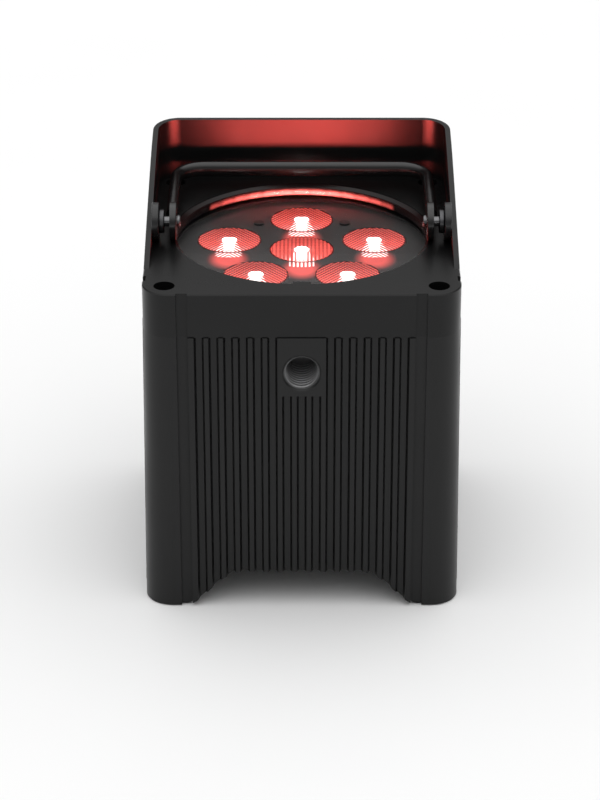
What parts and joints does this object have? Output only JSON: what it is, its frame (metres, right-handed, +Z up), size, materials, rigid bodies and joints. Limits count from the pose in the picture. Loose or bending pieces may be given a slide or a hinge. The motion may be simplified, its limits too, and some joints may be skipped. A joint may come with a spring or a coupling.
{
  "type": "stage par light",
  "caption": "Square battery stage uplight with ribbed die-cast housing, round lens opening, glare hood, swinging carry handle and a threaded side socket.",
  "frame": {"origin": "centre of the footprint on the surface the light stands on", "axes": "+Z up and out of the light opening, -Y the front with the threaded socket, +X to the right seen from the front"},
  "size_m": [0.155, 0.155, 0.1979],
  "materials": {
    "body_paint": "matte black fine powder coat on die-cast aluminium",
    "handle_paint": "semi-gloss black paint on steel bar",
    "pad_plastic": "satin moulded nylon",
    "black_steel": "blackened steel",
    "bright_steel": "zinc-plated steel",
    "insert_steel": "machined steel thread",
    "clear_glass": "clear toughened glass",
    "seal_rubber": "matte silicone",
    "black_plastic": "matte moulded",
    "dark_screw": "black oxide",
    "brass_posts": "turned brass",
    "lens_optic": "ribbed acrylic optic, lit red",
    "white_board": "white solder mask",
    "thermal_grey": "soft thermal pad",
    "bare_aluminium": "plain extrusion",
    "panel_paint": "matte black",
    "foot_rubber": "matte",
    "socket_plastic": "satin moulded nylon",
    "switch_plastic": "satin black",
    "rocker_plastic": "red rocker",
    "battery_wrap": "blue shrink wrap",
    "green_board": "green solder mask",
    "component_black": "moulded",
    "shield_steel": "tinned shield",
    "panel_plastic": "fine-textured",
    "display_glass": "smoked clear",
    "display_dark": "dark display",
    "button_rubber": "soft touch",
    "led_red": "lit red emitter"
  },
  "bodies": {
    "body": {"housing": "body_paint", "top_frame": "body_paint", "inner_frame": "bare_aluminium", "foot_blocks": "black_plastic", "handle_friction_pads": "pad_plastic", "handle_lock_nuts": "black_steel", "handle_pivot_screws": "bright_steel", "thread_insert": "insert_steel", "cover_glass": "clear_glass", "glass_gasket": "seal_rubber", "glass_spacer_ring": "black_plastic", "lens_plate": "black_plastic", "lens_plate_screws": "dark_screw", "lens_plate_standoffs": "brass_posts", "lens_centre": "lens_optic", "lens_back": "lens_optic", "lens_left_rear": "lens_optic", "lens_left_front": "lens_optic", "lens_right_front": "lens_optic", "lens_right_rear": "lens_optic", "lens_holders": "black_plastic", "led_board": "white_board", "led_emitters": "led_red", "thermal_pad": "thermal_grey", "heat_sink": "bare_aluminium", "heat_sink_posts": "bare_aluminium", "heat_sink_screws": "bright_steel", "frame_gasket": "seal_rubber", "frame_screws": "dark_screw", "base_panel": "panel_paint", "base_gasket": "seal_rubber", "base_screws": "dark_screw", "foot_pads": "foot_rubber", "vent_plug": "black_plastic", "radio_antenna": "black_plastic", "power_inlet": "socket_plastic", "dmx_in_socket": "socket_plastic", "dmx_out_socket": "socket_plastic", "switch_bezel": "switch_plastic", "battery_pack": "battery_wrap", "battery_bracket": "bare_aluminium", "driver_standoffs": "brass_posts", "driver_board": "green_board", "driver_components": "component_black", "radio_module": "shield_steel", "control_panel": "panel_plastic", "control_panel_gasket": "seal_rubber", "control_panel_screws": "dark_screw", "display_window": "display_glass", "display_module": "display_dark", "display_spacer": "black_plastic", "control_board": "green_board", "tact_switches": "component_black"},
    "handle": {"carry_handle": "handle_paint"},
    "rocker": {"switch_rocker": "rocker_plastic"},
    "menu_button_body": {"menu_button": "button_rubber"},
    "down_button_body": {"down_button": "button_rubber"},
    "up_button_body": {"up_button": "button_rubber"},
    "enter_button_body": {"enter_button": "button_rubber"}
  },
  "joints": [
    {"name": "handle_swing", "type": "hinge", "parent": "body", "child": "handle", "pos_m": [0, -0.0097, 0.1763], "axis": [1, 0, 0], "range_deg": [0, 180]},
    {"name": "menu_button_press", "type": "slide", "parent": "body", "child": "menu_button_body", "axis": [0, -1, 0], "range_m": [0, 0.001], "stiffness_N_per_m": 600},
    {"name": "down_button_press", "type": "slide", "parent": "body", "child": "down_button_body", "axis": [0, -1, 0], "range_m": [0, 0.001], "stiffness_N_per_m": 600},
    {"name": "up_button_press", "type": "slide", "parent": "body", "child": "up_button_body", "axis": [0, -1, 0], "range_m": [0, 0.001], "stiffness_N_per_m": 600},
    {"name": "enter_button_press", "type": "slide", "parent": "body", "child": "enter_button_body", "axis": [0, -1, 0], "range_m": [0, 0.001], "stiffness_N_per_m": 600},
    {"name": "power_rocker", "type": "hinge", "parent": "body", "child": "rocker", "pos_m": [0.046, 0.028, 0.051], "axis": [1, 0, 0], "range_deg": [-18, 0]}
  ]
}
